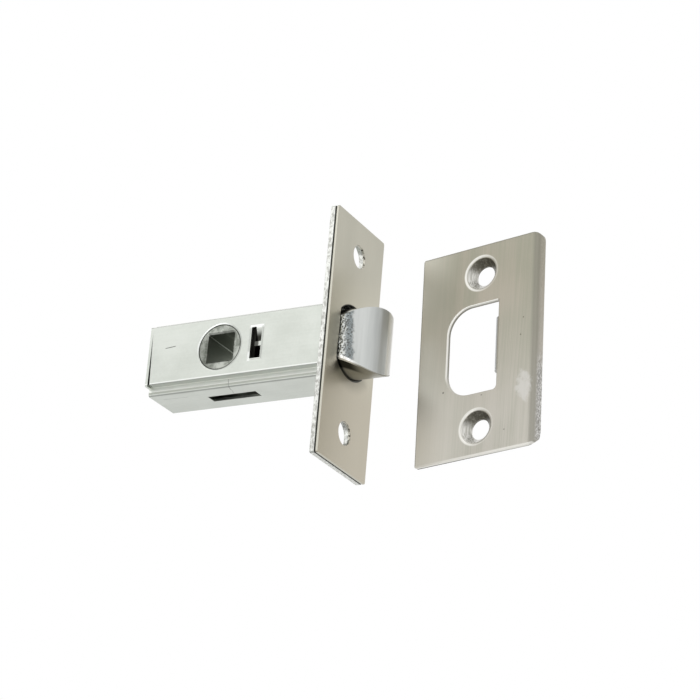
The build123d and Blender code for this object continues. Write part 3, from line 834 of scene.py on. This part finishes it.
# Painted highlight along the bottom edge, and painted shade on the cut edge behind it, stronger at
# the left.
bottom_rim_highlight = 1.0 - upward.step_up(-29.7, -29.4)
strike_colour = brushed.blend(bottom_rim_highlight * 0.8, strike_colour, (0.82, 0.81, 0.76, 1))
bottom_cut_shade = (1.0 - upward.step_up(-29.95, -29.8)) * (1.0 - outward.step_up(-0.62, -0.50))
bottom_cut_shade = bottom_cut_shade * (1.0 - across.step_up(6.0, 34.0) * 0.6)
strike_colour = brushed.blend(bottom_cut_shade * 0.9, strike_colour, (0.09, 0.085, 0.07, 1))

# Each dimple was pressed with a round punch. Its rim and its lower left wall carry painted
# highlights, and its upper right wall painted shade.
dimple_across = 18.75
dimple_upward = 22.0
for side in (1.0, -1.0):
    hole_across = across - dimple_across
    hole_up = upward - dimple_upward * side
    from_hole = (hole_across * hole_across + hole_up * hole_up) ** 0.5
    rim_side = (hole_up * 0.3 - hole_across * 0.95).step_up(-5.0, 3.0)
    dimple_rim_highlight = from_hole.near(4.95, 0.16, 0.34) * (rim_side * 0.65 + 0.25)
    strike_colour = brushed.blend(dimple_rim_highlight, strike_colour, (0.86, 0.85, 0.80, 1))
    in_dimple = 1.0 - from_hole.step_up(4.35, 4.6)
    high_wall_shade = (hole_up + hole_across * 0.25).step_up(-1.2, 2.4) * in_dimple
    low_wall_highlight = (hole_up * -0.8 - hole_across).step_up(-0.5, 2.0) * in_dimple
    wall_highlight_colour = brushed.blend(
        brush_line.step_up(0.36, 0.60), (0.52, 0.51, 0.46, 1), (0.97, 0.96, 0.92, 1)
    )
    strike_colour = brushed.blend(low_wall_highlight * 0.9, strike_colour, wall_highlight_colour)
    wall_shade_colour = brushed.blend(
        strike_speckle.step_up(0.45, 0.70), (0.075, 0.07, 0.05, 1), (0.20, 0.19, 0.16, 1)
    )
    strike_colour = brushed.blend(high_wall_shade * 0.93, strike_colour, wall_shade_colour)

# The aperture's rolled edge carries a painted highlight at the top and on the left, and its wall
# behind that painted shade. The tang opposite is bright.
aperture_round = 7.0
aperture_inset = 8.95
aperture_middle = 0.2
straight_half = 5.6
aside = (aperture_inset + aperture_round - across).larger(0.0)
endwise = (abs(upward - aperture_middle) - straight_half).larger(0.0)
off_aperture = (aside * aside + endwise * endwise) ** 0.5 - aperture_round
aperture_side = (1.0 - across.step_up(24.2, 24.6)) * upward.step_up(-9.0, -5.0)
aperture_rim_highlight = off_aperture.near(0.20, 0.16, 0.14) * aperture_side
aperture_rim_highlight = aperture_rim_highlight * outward.step_up(-0.40, -0.25)
aperture_wall_shade = (1.0 - off_aperture.step_up(0.05, 0.25)) * aperture_side
aperture_wall_shade = aperture_wall_shade * (1.0 - outward.step_up(-0.45, -0.30))
on_tang = across.near(23.6, 0.85, 0.1) * upward.near(0.7, 7.7, 0.1)
strike_colour = brushed.blend(aperture_rim_highlight * 0.95, strike_colour, (0.90, 0.89, 0.84, 1))
strike_colour = brushed.blend(aperture_wall_shade * 0.7, strike_colour, (0.16, 0.155, 0.13, 1))
strike_colour = brushed.blend(on_tang * 0.9, strike_colour, (0.56, 0.57, 0.58, 1))

# A pale smudge lies on the front beside the lip; the lip is worn low down, with its paler grey
# partly painted light; and a few small specks and a thin grey line at the cut edges are left.
in_front = outward.step_up(-0.7, -0.5)
smudge_wander = brushed.grain((1.0, 1.0, 1.0), 420.0, 4.0, 0.7) * 3.6 - 1.8
smudge_across = (across - 33.2) / 2.6
smudge_upward = (upward + 13.5) / 4.6
off_smudge = smudge_across ** 2.0 + smudge_upward ** 2.0 + smudge_wander
smudge = (1.0 - off_smudge.step_up(0.1, 1.2)) * in_front
strike_colour = brushed.blend(smudge * 0.5, strike_colour, (0.70, 0.69, 0.67, 1))
lip_speckle = brushed.grain((1.0, 1.0, 0.5), 3600.0, 4.0, 0.75)
# Real wear speckles on the lip, with its paler grey partly painted light.
lip_wear_and_light = across.step_up(36.6, 37.5) * (upward.near(-19.0, 8.0, 8.0) * 0.7 + 0.1)
lip_speckle_and_light = brushed.blend(
    lip_speckle.step_up(0.42, 0.60), (0.20, 0.195, 0.18, 1), (0.72, 0.715, 0.70, 1)
)
strike_colour = brushed.blend(lip_wear_and_light, strike_colour, lip_speckle_and_light)


def speck(speck_across, speck_upward, radius):
    """1 in a small round speck on the strike."""
    off = ((across - speck_across) ** 2.0 + (upward - speck_upward) ** 2.0) ** 0.5
    return off.near(0.0, radius, 0.12)


specks = speck(8.1, -10.3, 0.22)
for place in (
    (31.8, 1.2, 0.16),
    (32.5, 6.0, 0.14),
    (20.2, -13.4, 0.12),
    (27.6, -24.5, 0.13),
):
    specks = specks.larger(speck(*place))
strike_colour = brushed.blend(specks * in_front * 0.7, strike_colour, (0.09, 0.08, 0.06, 1))
cut_edge = (1.0 - across.step_up(0.12, 0.34)).larger(upward.step_up(29.7, 29.95)) * in_front
strike_colour = brushed.blend(cut_edge * 0.6, strike_colour, (0.20, 0.195, 0.165, 1))
strike_finish = brushed.finish(
    strike_colour,
    0.28 + brush_line * 0.12,
    brush_line * 0.006 + brush_band * 0.004 + lip_wear_and_light * strike_speckle * 0.03,
)
strike = dressed("strike_plate", "brushed_strike", 0.26, strike_finish, 3)
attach(strike, "root")


bpy.context.scene.view_settings.view_transform = "Standard"
